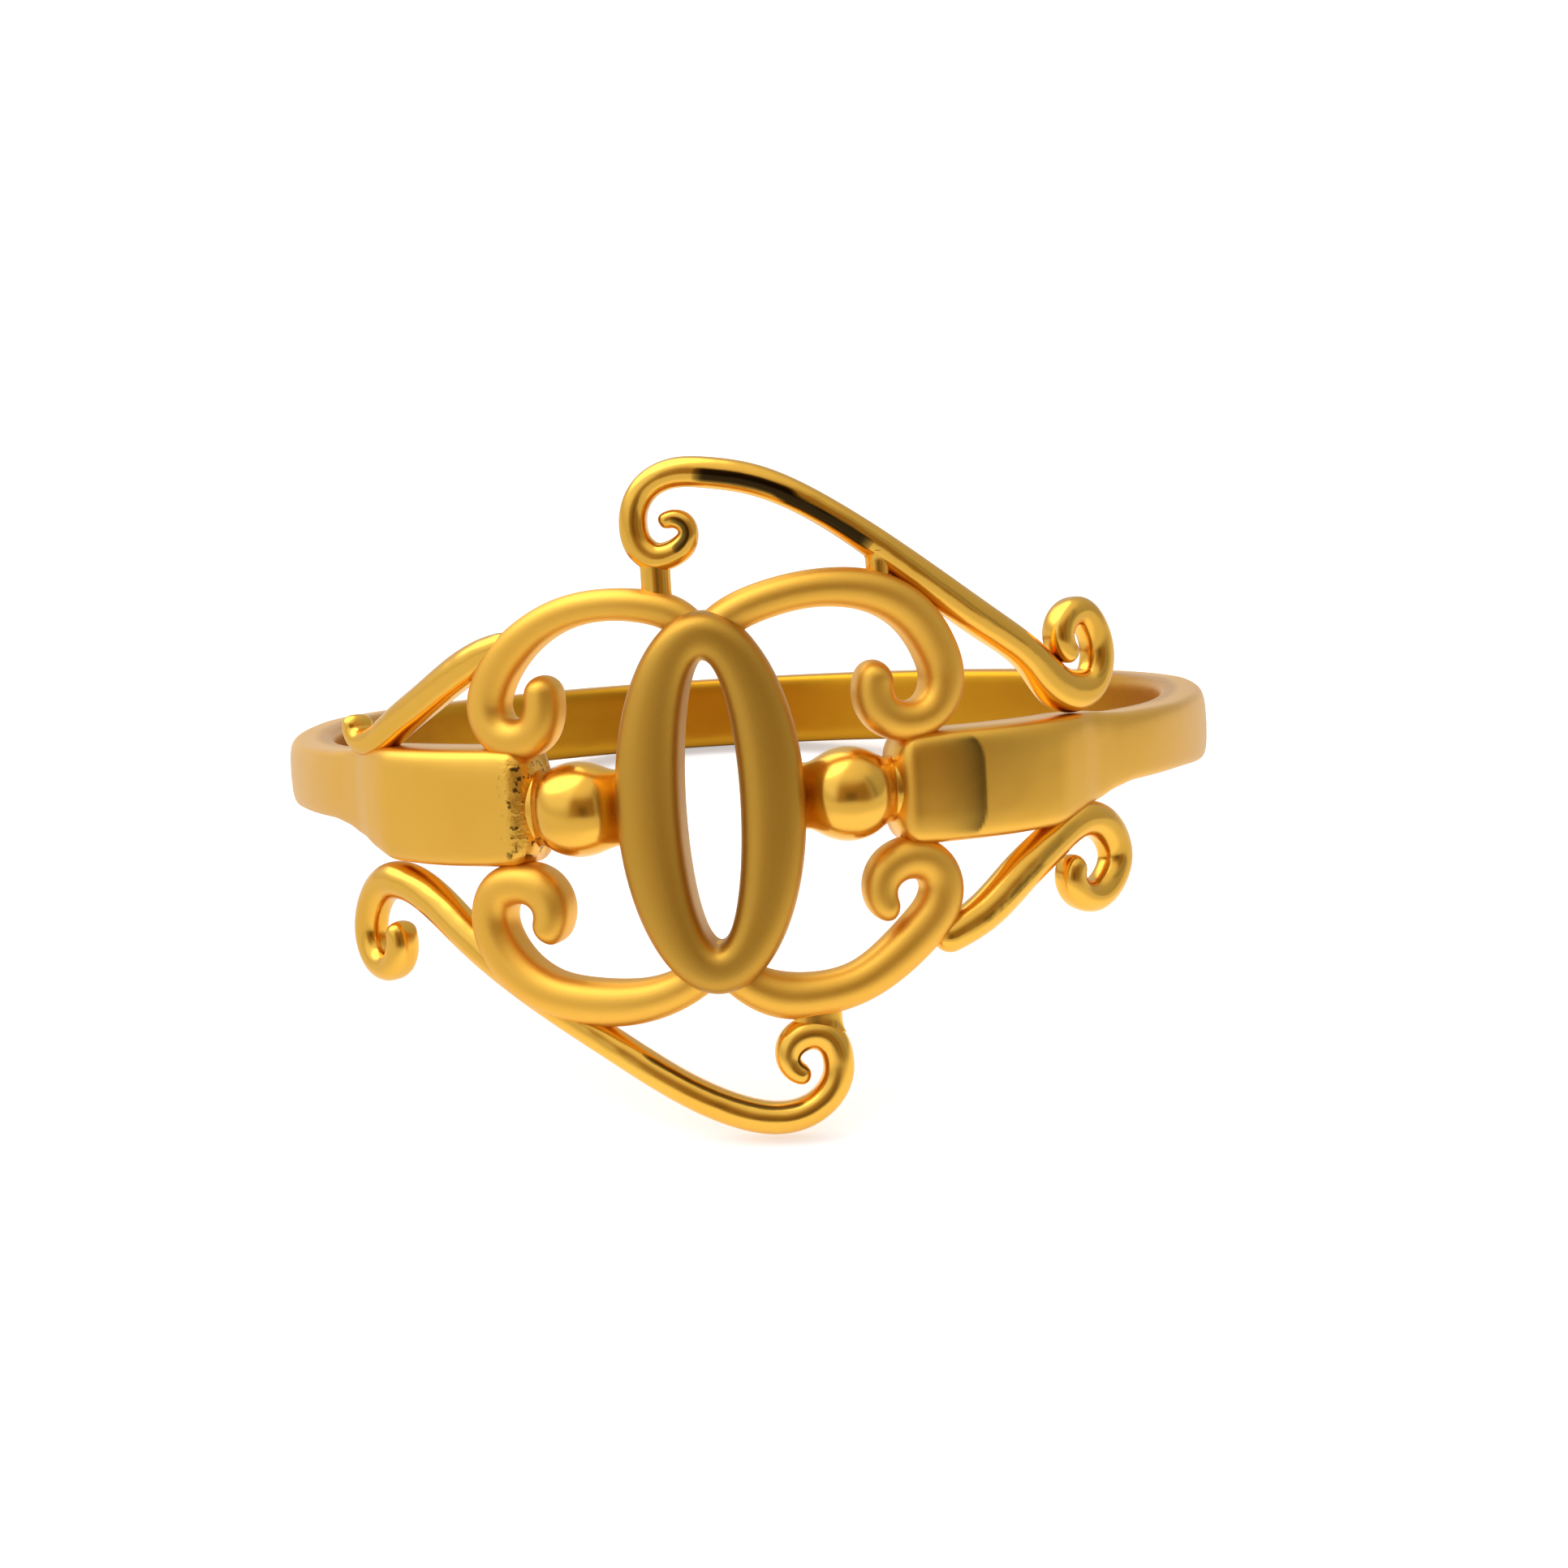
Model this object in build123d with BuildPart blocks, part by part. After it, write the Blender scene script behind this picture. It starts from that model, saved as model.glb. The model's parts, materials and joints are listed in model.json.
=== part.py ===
"""A cast gold finger ring: a plain band with two broad shoulders, and between them a pierced face
of scrolls round an upright oval hoop. The ring lies on its side, as it comes to rest by itself.

The ring is drawn upright first: the finger goes through along Z, the face looks along -Y and the
middle of the bore is the origin. Lengths "along" are measured round the outside of the band,
lengths "up" run along the finger from the middle of the face, and a "lift" is how far a piece's
back stands off the finger."""

import os
from math import asin, atan2, cos, degrees, hypot, pi, radians, sin

from build123d import *

# The bore and the band, which has a narrow waist on both sides between its back and its shoulders
bore_radius = 8.6
band_wall = 0.9
band_width = 1.65
band_waist_width = 1.3
band_edge_round = 0.22

# The shoulders, from their end beside the bead to the waist; the left one is a little wider
left_shoulder_width = 2.14
right_shoulder_width = 2.0
shoulder_wall = 1.3
shoulder_length = 5.9

# The face of scrolls: its reach to each side, its rise above the middle, and how far it sits low
face_reach = 8.0
face_rise = 5.7
face_drop = 0.2

# The hoop and the two beads beside it, whose seams face the finger, clear of their solder joints
hoop_width = 3.2
hoop_height = 6.65
hoop_side_wall = 1.1
hoop_end_wall = 0.85
hoop_lift = 0.2
hoop_depth = 1.45
hoop_edge_round = 0.36
bead_diameter = 1.65
bead_seam_turn = 90

# Each bead: its side, how far it sits low, and the height of the solder necks that join it to the
# hoop and the shoulder. The necks are shallower than high, and lie nearer to the finger.
bead_rows = [
    (1, 0.00, 1.12),
    (-1, 0.05, 1.30),
]
neck_depth = 0.84
neck_lift = 0.28
neck_reach = 1.0

# The tendrils: half-round bars on edge, thickest in their curls and narrower at the back by a
# share. Under the hoop the slim pair ends inside the broad pair, so it is a little shallower on
# both sides.
back_share = 0.8
tendril_width = 0.62
broad_tendril_lift = 0.38
broad_tendril_depth = 0.95
slim_tendril_lift = 0.46
slim_tendril_depth = 0.79

# The wires: half-round wire, long above and below, short beside the tendrils
wire_width = 0.6
wire_lift = 0.55
wire_depth = 0.6

# The posts that tie the long wires to the tendrils
post_depth = 0.46

# Soldered neighbours run into each other by this much
solder_bite = 0.04

# How far round to the left of the back the band touches the surface that the ring lies on
rest_touch_turn = 11.4

# How far the hoop's flat plate is drawn past the shell that trims it
trim_spare = 1.0

# Sections of a bar stand no further apart than about this
section_pitch = 0.9

# How far the band and shoulders are drawn into the bore before it is bored out clean
bore_spare = 0.05

# Each row is one section: its place along and up as shares of the face's reach and rise, and its
# width as a share of the bar's own. First the broad tendrils: above on the right, and below on the
# left, where both shares are counted to the left and downwards.
upper_right_tendril_rows = [
    (-0.025, 0.452, 0.95),
    (0.044, 0.547, 1.06),
    (0.138, 0.605, 1.06),
    (0.231, 0.630, 1.06),
    (0.304, 0.630, 1.12),
    (0.383, 0.606, 1.20),
    (0.462, 0.535, 1.24),
    (0.511, 0.433, 1.22),
    (0.528, 0.330, 1.16),
    (0.500, 0.244, 1.10),
    (0.440, 0.210, 1.12),
    (0.384, 0.238, 1.16),
    (0.364, 0.302, 1.12),
    (0.370, 0.357, 1.04),
    (0.383, 0.399, 0.90),
]
lower_left_tendril_rows = [
    (-0.025, 0.447, 0.95),
    (0.044, 0.532, 1.05),
    (0.138, 0.596, 1.18),
    (0.231, 0.615, 1.32),
    (0.306, 0.610, 1.34),
    (0.388, 0.585, 1.28),
    (0.470, 0.518, 1.26),
    (0.518, 0.430, 1.22),
    (0.531, 0.340, 1.15),
    (0.508, 0.267, 1.18),
    (0.452, 0.238, 1.20),
    (0.404, 0.256, 1.22),
    (0.377, 0.308, 1.14),
    (0.379, 0.366, 1.02),
    (0.402, 0.421, 0.85),
]
# The slim tendrils: above on the left, with the reach counted to the left, and below on the right,
# with the rise counted downwards
upper_left_tendril_rows = [
    (0.002, 0.496, 0.92),
    (0.056, 0.571, 1.00),
    (0.131, 0.606, 0.94),
    (0.215, 0.614, 0.91),
    (0.304, 0.594, 0.94),
    (0.392, 0.536, 1.02),
    (0.458, 0.459, 1.14),
    (0.498, 0.380, 1.21),
    (0.512, 0.303, 1.24),
    (0.490, 0.236, 1.22),
    (0.441, 0.210, 1.20),
    (0.391, 0.236, 1.18),
    (0.370, 0.303, 1.12),
    (0.369, 0.360, 1.04),
    (0.372, 0.407, 0.95),
]
lower_right_tendril_rows = [
    (0.002, 0.492, 1.02),
    (0.056, 0.562, 1.15),
    (0.131, 0.610, 1.32),
    (0.213, 0.614, 1.26),
    (0.300, 0.588, 1.20),
    (0.385, 0.521, 1.27),
    (0.451, 0.446, 1.32),
    (0.494, 0.376, 1.28),
    (0.506, 0.308, 1.24),
    (0.484, 0.242, 1.22),
    (0.433, 0.215, 1.22),
    (0.382, 0.242, 1.14),
    (0.359, 0.306, 0.98),
    (0.369, 0.354, 0.86),
    (0.398, 0.379, 0.68),
]
# The upper long wire, from the tip of its inner hook to the tip of its outer curl
upper_wire_rows = [
    (-0.078, 0.846, 0.44),
    (-0.052, 0.862, 0.52),
    (-0.027, 0.852, 0.58),
    (-0.017, 0.820, 0.58),
    (-0.026, 0.787, 0.70),
    (-0.052, 0.760, 0.78),
    (-0.093, 0.751, 0.85),
    (-0.126, 0.786, 0.84),
    (-0.137, 0.842, 0.80),
    (-0.132, 0.900, 0.78),
    (-0.105, 0.960, 0.80),
    (-0.048, 0.998, 0.86),
    (0.025, 0.996, 0.90),
    (0.119, 0.970, 0.90),
    (0.275, 0.864, 0.86),
    (0.461, 0.680, 0.98),
    (0.658, 0.482, 1.06),
    (0.776, 0.364, 1.10),
    (0.879, 0.254, 1.36),
    (0.957, 0.268, 1.10),
    (0.985, 0.346, 1.01),
    (0.967, 0.447, 0.92),
    (0.916, 0.504, 0.88),
    (0.873, 0.482, 0.88),
    (0.856, 0.432, 0.84),
    (0.866, 0.388, 0.74),
    (0.892, 0.354, 0.58),
]
# The lower long wire, drawn in the same sense as the upper and then turned half round
lower_wire_rows = [
    (-0.184, 0.866, 0.52),
    (-0.153, 0.849, 0.66),
    (-0.136, 0.811, 0.74),
    (-0.143, 0.768, 0.90),
    (-0.169, 0.739, 0.98),
    (-0.205, 0.735, 1.02),
    (-0.234, 0.765, 0.98),
    (-0.246, 0.816, 0.92),
    (-0.244, 0.870, 0.90),
    (-0.196, 0.960, 0.90),
    (-0.119, 0.993, 0.95),
    (-0.019, 0.966, 0.97),
    (0.088, 0.896, 0.95),
    (0.238, 0.764, 0.92),
    (0.425, 0.598, 0.96),
    (0.625, 0.402, 1.10),
    (0.783, 0.264, 1.18),
    (0.880, 0.262, 1.14),
    (0.944, 0.342, 1.02),
    (0.962, 0.456, 0.99),
    (0.920, 0.533, 0.95),
    (0.864, 0.528, 0.90),
    (0.838, 0.464, 0.86),
    (0.846, 0.386, 0.66),
]
# The short wire above on the left, with its reach counted to the left
upper_short_wire_rows = [
    (0.436, 0.514, 0.70),
    (0.507, 0.480, 0.98),
    (0.598, 0.420, 1.08),
    (0.694, 0.342, 1.04),
    (0.794, 0.265, 1.02),
    (0.895, 0.200, 0.90),
    (0.940, 0.207, 0.76),
    (0.958, 0.243, 0.62),
    (0.950, 0.285, 0.48),
]
# The short wire below on the right, with its rise counted downwards
lower_short_wire_rows = [
    (0.485, 0.490, 1.00),
    (0.619, 0.409, 1.18),
    (0.716, 0.309, 1.24),
    (0.816, 0.219, 1.18),
    (0.905, 0.166, 1.12),
    (0.994, 0.210, 1.13),
    (1.023, 0.312, 1.06),
    (0.977, 0.397, 1.04),
    (0.938, 0.418, 1.00),
    (0.894, 0.407, 0.94),
    (0.866, 0.367, 0.88),
    (0.865, 0.319, 0.80),
    (0.883, 0.280, 0.66),
]
# Each post: its place along, and its lower and upper end, as shares of the face's reach and rise,
# and its width as a share of its depth
post_rows = [
    (-0.095, 0.600, 0.760, 1.15),
    (0.392, 0.620, 0.735, 0.90),
    (0.206, -0.735, -0.600, 1.90),
]
# Sections from the bead outwards, past the waist: the share of the shoulder's length, the share of
# the way from the band's width and wall to the shoulder's own, the share of the way from the band's
# width to the waist's, and the share of the face's drop
shoulder_rows = [
    (0.00, 0.40, 0.00, 1.00),
    (0.05, 0.78, 0.00, 1.00),
    (0.28, 1.00, 0.00, 1.00),
    (0.53, 0.92, 0.00, 0.90),
    (0.65, 0.56, 0.00, 0.52),
    (0.77, 0.12, 0.10, 0.15),
    (0.88, 0.00, 0.60, -0.08),
    (1.00, 0.00, 0.96, -0.20),
    (1.30, 0.00, 1.00, -0.20),
    (1.65, 0.00, 0.70, -0.10),
    (2.00, 0.00, 0.25, 0.00),
    (2.30, 0.00, 0.00, 0.00),
]

# What follows from the driving sizes
band_radius = bore_radius + band_wall
hoop_back_radius = bore_radius + hoop_lift
hoop_front_radius = hoop_back_radius + hoop_depth
wire_radius = bore_radius + wire_lift + wire_depth / 2
neck_radius = bore_radius + neck_lift + neck_depth / 2
shoulder_start = hoop_width / 2 + bead_diameter - 2 * solder_bite
back_start_turn = (shoulder_start + shoulder_rows[-1][0] * shoulder_length) / band_radius

# The ring touches the surface that it lies on at the foot of the lower long wire, in front, and at
# the band's rounded lower edge, behind. Its lean is the slope of the line that joins the two.
foot_depth = face_rise + face_drop + wire_width / 2
lean_rise = foot_depth - (band_width / 2 - band_edge_round)
lean_reach = bore_radius + wire_lift + band_radius - band_edge_round
lean = atan2(lean_rise, lean_reach) - asin(band_edge_round / hypot(lean_rise, lean_reach))
rest_pitch = asin(sin(lean) * cos(radians(rest_touch_turn)))
rest_roll = atan2(sin(lean) * sin(radians(rest_touch_turn)), cos(lean))


def outward(turn):
    """The direction away from the finger's axis, at an angle round the finger from the face."""
    return Vector(sin(turn), -cos(turn), 0)


def around(turn):
    """The direction round the finger, to the right at the face."""
    return Vector(cos(turn), sin(turn), 0)


def on_face(along, up, radius):
    """A point over the face, from its length along, its height up and its distance from the axis."""
    return outward(along / band_radius) * radius + Vector(0, 0, up - face_drop)


def section_stations(course, places, rows):
    """Where a bar's sections stand on its course: at each row, and evenly between far rows."""
    marks = [course.param_at_point(place) for place in places]
    stations = []
    for first in range(len(rows) - 1):
        span = (Vector(*places[first + 1]) - Vector(*places[first])).length
        steps = max(1, round(span / section_pitch))
        for step in range(steps):
            share = step / steps
            mark = marks[first] + share * (marks[first + 1] - marks[first])
            width_share = rows[first][2] + share * (rows[first + 1][2] - rows[first][2])
            stations.append((mark, width_share))
    stations.append((marks[-1], rows[-1][2]))
    return stations


def section_plane(course, station):
    """The plane across a course at a station: x lies in the face, y points away from the axis."""
    place = course @ station
    heading = course % station
    ahead_round = around(place.X / band_radius)
    return Plane(
        origin=on_face(place.X, place.Y, 0),
        x_dir=Vector(0, 0, heading.X) - ahead_round * heading.Y,
        z_dir=ahead_round * heading.X + Vector(0, 0, heading.Y),
    )


def bar(rows, side, rise, full_width, lift, depth):
    """A bar laid on the face, half round in front: side and rise are 1 or -1, and mirror its rows."""
    back_radius = bore_radius + lift
    front_radius = back_radius + depth
    places = [(side * across * face_reach, rise * up * face_rise) for across, up, _ in rows]
    with BuildLine() as route:
        Spline(*places)
    course = route.edge()
    with BuildPart() as body:
        for station, width_share in section_stations(course, places, rows):
            half = width_share * full_width / 2
            back_half = back_share * half
            shoulder_radius = front_radius - half
            with BuildSketch(section_plane(course, station)):
                with BuildLine():
                    Polyline(
                        (half, shoulder_radius),
                        (back_half, back_radius),
                        (-back_half, back_radius),
                        (-half, shoulder_radius),
                    )
                    ThreePointArc((-half, shoulder_radius), (0, front_radius), (half, shoulder_radius))
                make_face()
        loft()
    return body.part


def broad_tendril(rows, side, rise):
    """One of the two broad tendrils that grow from beneath the hoop and end in a thick curl."""
    return bar(rows, side, rise, tendril_width, broad_tendril_lift, broad_tendril_depth)


def slim_tendril(rows, side, rise):
    """One of the two slim tendrils, which end inside the broad ones beneath the hoop."""
    return bar(rows, side, rise, tendril_width, slim_tendril_lift, slim_tendril_depth)


def wire(rows, side, rise):
    """One of the four scroll wires."""
    return bar(rows, side, rise, wire_width, wire_lift, wire_depth)


def post(across, low, high, width_share):
    """A post between a wire and a tendril, upright and oval."""
    foot = on_face(across * face_reach, low * face_rise, wire_radius)
    turn = across * face_reach / band_radius
    with BuildPart() as body:
        with BuildSketch(Plane(origin=foot, x_dir=around(turn), z_dir=(0, 0, 1))):
            Ellipse(width_share * post_depth / 2, post_depth / 2)
        extrude(amount=(high - low) * face_rise)
    return body.part


def band_section(turn, wall, width, drop=0):
    """A section of the band or a shoulder, across it at one place round the finger."""
    across = Plane(origin=(0, 0, -drop), x_dir=outward(turn), z_dir=around(turn))
    with BuildSketch(across) as section:
        with Locations((bore_radius + (wall - bore_spare) / 2, 0)):
            RectangleRounded(wall + bore_spare, width, band_edge_round)
    return section.sketch


def bead(side, drop, neck_height):
    """One bead with its two solder necks; side is 1 on the right."""
    along = side * (hoop_width / 2 + bead_diameter / 2 - solder_bite)
    heading = around(along / band_radius)
    with BuildPart() as body:
        with Locations(on_face(along, -drop, band_radius)):
            Sphere(bead_diameter / 2, rotation=(0, 0, bead_seam_turn))
        with BuildSketch(Plane(origin=on_face(along, -drop, neck_radius), x_dir=(0, 0, 1), z_dir=heading)):
            Ellipse(neck_height / 2, neck_depth / 2)
        extrude(amount=neck_reach, both=True)
    return body.part


def shoulder(side, shoulder_width):
    """One shoulder, lofted from its end beside the bead past the waist; side is 1 on the right."""
    with BuildPart() as body:
        for reach_share, fullness, waist_share, drop_share in shoulder_rows:
            turn = (shoulder_start + reach_share * shoulder_length) / band_radius
            width = band_width + fullness * (shoulder_width - band_width)
            width += waist_share * (band_waist_width - band_width)
            wall = band_wall + fullness * (shoulder_wall - band_wall)
            add(band_section(side * turn, wall, width, drop_share * face_drop))
        loft()
    return body.part


def face_shell(back_radius, front_radius):
    """A shell round the finger that gives flat cut bodies their curved back and front."""
    with BuildPart() as shell:
        Cylinder(front_radius, 2 * hoop_height)
        Cylinder(back_radius, 2 * hoop_height, mode=Mode.SUBTRACT)
    return shell.part


# The band's even part runs round the back
with BuildPart() as band:
    add(band_section(back_start_turn, band_wall, band_width))
    revolve(axis=Axis.Z, revolution_arc=degrees(2 * (pi - back_start_turn)))

# The hoop is cut from a plate as thick as the shell's two skins, then its front edges are rounded
hoop_shell = face_shell(hoop_back_radius, hoop_front_radius)
with BuildPart() as hoop:
    with BuildSketch(Plane.XZ.offset(hoop_back_radius - trim_spare)):
        with Locations((0, -face_drop)):
            Ellipse(hoop_width / 2, hoop_height / 2)
            Ellipse(
                hoop_width / 2 - hoop_side_wall,
                hoop_height / 2 - hoop_end_wall,
                mode=Mode.SUBTRACT,
            )
    extrude(amount=hoop_front_radius - hoop_back_radius + 2 * trim_spare)
    add(hoop_shell, mode=Mode.INTERSECT)
    fillet(hoop.faces().sort_by(Axis.Y)[0].edges(), hoop_edge_round)

# The scrolls with their posts. The slim tendrils end inside the broad ones, where they cross.
scroll_parts = [
    broad_tendril(upper_right_tendril_rows, 1, 1),
    broad_tendril(lower_left_tendril_rows, -1, -1),
    slim_tendril(upper_left_tendril_rows, -1, 1),
    slim_tendril(lower_right_tendril_rows, 1, -1),
    wire(upper_short_wire_rows, -1, 1),
    wire(lower_short_wire_rows, 1, -1),
    wire(upper_wire_rows, 1, 1),
    wire(lower_wire_rows, -1, -1),
]
for across, low, high, width_share in post_rows:
    scroll_parts.append(post(across, low, high, width_share))
with BuildPart() as scrolls:
    add(scroll_parts)

# The ring in one casting, upright
with BuildPart() as upright_ring:
    add(band.part)
    add(shoulder(1, right_shoulder_width))
    add(shoulder(-1, left_shoulder_width))
    Cylinder(bore_radius, 2 * left_shoulder_width, mode=Mode.SUBTRACT)
    for side, drop, neck_height in bead_rows:
        add(bead(side, drop, neck_height))
    add(scrolls.part)
    add(hoop.part)

# The ring as it lies, face up by the pitch and right side up by the roll
with BuildPart() as ring:
    add(upright_ring.part, rotation=(-degrees(rest_pitch), -degrees(rest_roll), 0))

os.makedirs("parts", exist_ok=True)
ring.part.label = "ring"
export_step(ring.part, "parts/ring.step")
print("solids", len(ring.part.solids()), "volume", ring.part.volume)
print("pitch", degrees(rest_pitch), "roll", degrees(rest_roll))
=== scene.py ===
"""The looks of a cast gold finger ring that lies on its side on a pale floor.

Every piece is drawn on the upright ring in millimetres: the finger goes through along Z, the face
looks along -Y, and the middle of the bore is the origin. A place over the face is given as a length
along (round the outside of the band), a length up, and a radius from the finger's axis. It is then
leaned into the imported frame, whose bore says how far the ring leans, and written in metres."""

import json
from math import asin, atan2, cos, pi, radians, sin

import bmesh
import bpy
import numpy as np
from mathutils import Matrix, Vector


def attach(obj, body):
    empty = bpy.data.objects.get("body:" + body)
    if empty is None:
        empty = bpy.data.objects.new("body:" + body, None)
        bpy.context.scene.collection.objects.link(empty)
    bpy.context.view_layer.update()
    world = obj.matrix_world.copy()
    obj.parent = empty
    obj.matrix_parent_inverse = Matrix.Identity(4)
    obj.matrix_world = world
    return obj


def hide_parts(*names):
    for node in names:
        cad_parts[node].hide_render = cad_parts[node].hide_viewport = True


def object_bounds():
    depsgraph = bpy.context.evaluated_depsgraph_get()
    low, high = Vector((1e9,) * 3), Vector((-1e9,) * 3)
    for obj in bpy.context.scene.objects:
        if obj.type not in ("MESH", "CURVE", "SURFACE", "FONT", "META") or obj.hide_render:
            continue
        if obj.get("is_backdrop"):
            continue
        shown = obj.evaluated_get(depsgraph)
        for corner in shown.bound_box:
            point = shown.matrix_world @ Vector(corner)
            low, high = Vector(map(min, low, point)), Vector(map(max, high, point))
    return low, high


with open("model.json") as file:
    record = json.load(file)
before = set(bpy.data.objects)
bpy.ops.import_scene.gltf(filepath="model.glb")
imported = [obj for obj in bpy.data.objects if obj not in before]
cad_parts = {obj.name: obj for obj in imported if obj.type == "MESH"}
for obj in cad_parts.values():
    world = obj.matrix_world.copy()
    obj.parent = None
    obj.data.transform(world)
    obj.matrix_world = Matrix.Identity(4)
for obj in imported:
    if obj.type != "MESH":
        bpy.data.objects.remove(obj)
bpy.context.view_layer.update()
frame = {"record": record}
finger_bore = frame["record"]["mounts"][0]

MM = 0.001

# The bore and the band, in millimetres
bore_radius = finger_bore["dims"]["r_mm"]
band_wall = 0.9
band_width = 1.65
band_waist_width = 1.3
band_radius = bore_radius + band_wall
band_crown = 0.05

# The shoulders, and how softly their ends beside the beads are rounded
left_shoulder_width = 2.14
right_shoulder_width = 2.0
shoulder_wall = 1.3
shoulder_length = 5.9
shoulder_end_round = 0.42
shoulder_end_power = 0.8

# The patch at the right shoulder's end, glossy and darkened by a painted reflection, and the pits at
# the left one's, darkened by painted reflections: how far each runs, how soft its edge is, how far
# and how softly the patch's far corners are rounded, how late its painted reflection darkens, and
# the share of the height that both fill
patch_length = 1.65
patch_edge = 0.10
patch_corner = 0.20
patch_corner_edge = 0.08
patch_ramp_power = 2.8
pits_length = 0.62
pits_edge = 0.25
marked_height = 0.92
marked_edge = 0.14

# The face of scrolls
face_reach = 8.0
face_rise = 5.7
face_drop = 0.2

# The hoop and the beads
hoop_width = 3.2
hoop_height = 6.65
hoop_side_wall = 1.1
hoop_end_wall = 0.85
hoop_lift = 0.2
hoop_depth = 1.45
hoop_crown = 0.5
bead_diameter = 1.65
solder_bite = 0.04

# Each bead: its name, its side, how far it sits low, and the height of its solder necks
bead_rows = [
    ("bead_right", 1, 0.00, 1.12),
    ("bead_left", -1, 0.05, 1.30),
]
neck_depth = 0.84
neck_lift = 0.28
neck_reach = 1.0
neck_flare = 0.12
neck_corner_power = 7

# The tendrils and the wires
tendril_width = 0.62
broad_tendril_lift = 0.38
broad_tendril_depth = 0.95
slim_tendril_lift = 0.46
slim_tendril_depth = 0.79
wire_width = 0.6
wire_lift = 0.55
wire_depth = 0.6

# The posts and the solder where pieces meet
post_depth = 0.46
post_flare = 0.06

# How square the front and the back of each section are: 1 is a half circle, and less is squarer
bar_front_power = 1.0
bar_back_power = 0.65
hoop_front_power = 0.8
hoop_back_power = 0.35
band_power = 0.34

# How finely the surfaces are drawn
bar_step = 0.05
bar_section_points = 40
band_section_points = 80
tip_rings = 10
first_tip_angle = 0.12
loop_rings = 240
round_points = 64
post_points = 32

# Each row is one section: its place along and up as shares of the face's reach and rise, and its
# width as a share of the bar's own. First the broad tendrils: above on the right, and below on the
# left, where both shares are counted to the left and downwards.
upper_right_tendril_rows = [
    (-0.025, 0.452, 0.95),
    (0.044, 0.547, 1.06),
    (0.138, 0.605, 1.06),
    (0.231, 0.630, 1.06),
    (0.304, 0.630, 1.12),
    (0.383, 0.606, 1.20),
    (0.462, 0.535, 1.24),
    (0.511, 0.433, 1.22),
    (0.528, 0.330, 1.16),
    (0.500, 0.244, 1.10),
    (0.440, 0.210, 1.12),
    (0.384, 0.238, 1.16),
    (0.364, 0.302, 1.12),
    (0.370, 0.357, 1.04),
    (0.383, 0.399, 0.90),
]
lower_left_tendril_rows = [
    (-0.025, 0.447, 0.95),
    (0.044, 0.532, 1.05),
    (0.138, 0.596, 1.18),
    (0.231, 0.615, 1.32),
    (0.306, 0.610, 1.34),
    (0.388, 0.585, 1.28),
    (0.470, 0.518, 1.26),
    (0.518, 0.430, 1.22),
    (0.531, 0.340, 1.15),
    (0.508, 0.267, 1.18),
    (0.452, 0.238, 1.20),
    (0.404, 0.256, 1.22),
    (0.377, 0.308, 1.14),
    (0.379, 0.366, 1.02),
    (0.402, 0.421, 0.85),
]
# The slim tendrils: above on the left, with the reach counted to the left, and below on the right,
# with the rise counted downwards
upper_left_tendril_rows = [
    (0.002, 0.496, 0.92),
    (0.056, 0.571, 1.00),
    (0.131, 0.606, 0.94),
    (0.215, 0.614, 0.91),
    (0.304, 0.594, 0.94),
    (0.392, 0.536, 1.02),
    (0.458, 0.459, 1.14),
    (0.498, 0.380, 1.21),
    (0.512, 0.303, 1.24),
    (0.490, 0.236, 1.22),
    (0.441, 0.210, 1.20),
    (0.391, 0.236, 1.18),
    (0.370, 0.303, 1.12),
    (0.369, 0.360, 1.04),
    (0.372, 0.407, 0.95),
]
lower_right_tendril_rows = [
    (0.002, 0.492, 1.02),
    (0.056, 0.562, 1.15),
    (0.131, 0.610, 1.32),
    (0.213, 0.614, 1.26),
    (0.300, 0.588, 1.20),
    (0.385, 0.521, 1.27),
    (0.451, 0.446, 1.32),
    (0.494, 0.376, 1.28),
    (0.506, 0.308, 1.24),
    (0.484, 0.242, 1.22),
    (0.433, 0.215, 1.22),
    (0.382, 0.242, 1.14),
    (0.359, 0.306, 0.98),
    (0.369, 0.354, 0.86),
    (0.398, 0.379, 0.68),
]
# The upper long wire, from the tip of its inner hook to the tip of its outer curl
upper_wire_rows = [
    (-0.078, 0.846, 0.44),
    (-0.052, 0.862, 0.52),
    (-0.027, 0.852, 0.58),
    (-0.017, 0.820, 0.58),
    (-0.026, 0.787, 0.70),
    (-0.052, 0.760, 0.78),
    (-0.093, 0.751, 0.85),
    (-0.126, 0.786, 0.84),
    (-0.137, 0.842, 0.80),
    (-0.132, 0.900, 0.78),
    (-0.105, 0.960, 0.80),
    (-0.048, 0.998, 0.86),
    (0.025, 0.996, 0.90),
    (0.119, 0.970, 0.90),
    (0.275, 0.864, 0.86),
    (0.461, 0.680, 0.98),
    (0.658, 0.482, 1.06),
    (0.776, 0.364, 1.10),
    (0.879, 0.254, 1.36),
    (0.957, 0.268, 1.10),
    (0.985, 0.346, 1.01),
    (0.967, 0.447, 0.92),
    (0.916, 0.504, 0.88),
    (0.873, 0.482, 0.88),
    (0.856, 0.432, 0.84),
    (0.866, 0.388, 0.74),
    (0.892, 0.354, 0.58),
]
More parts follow.
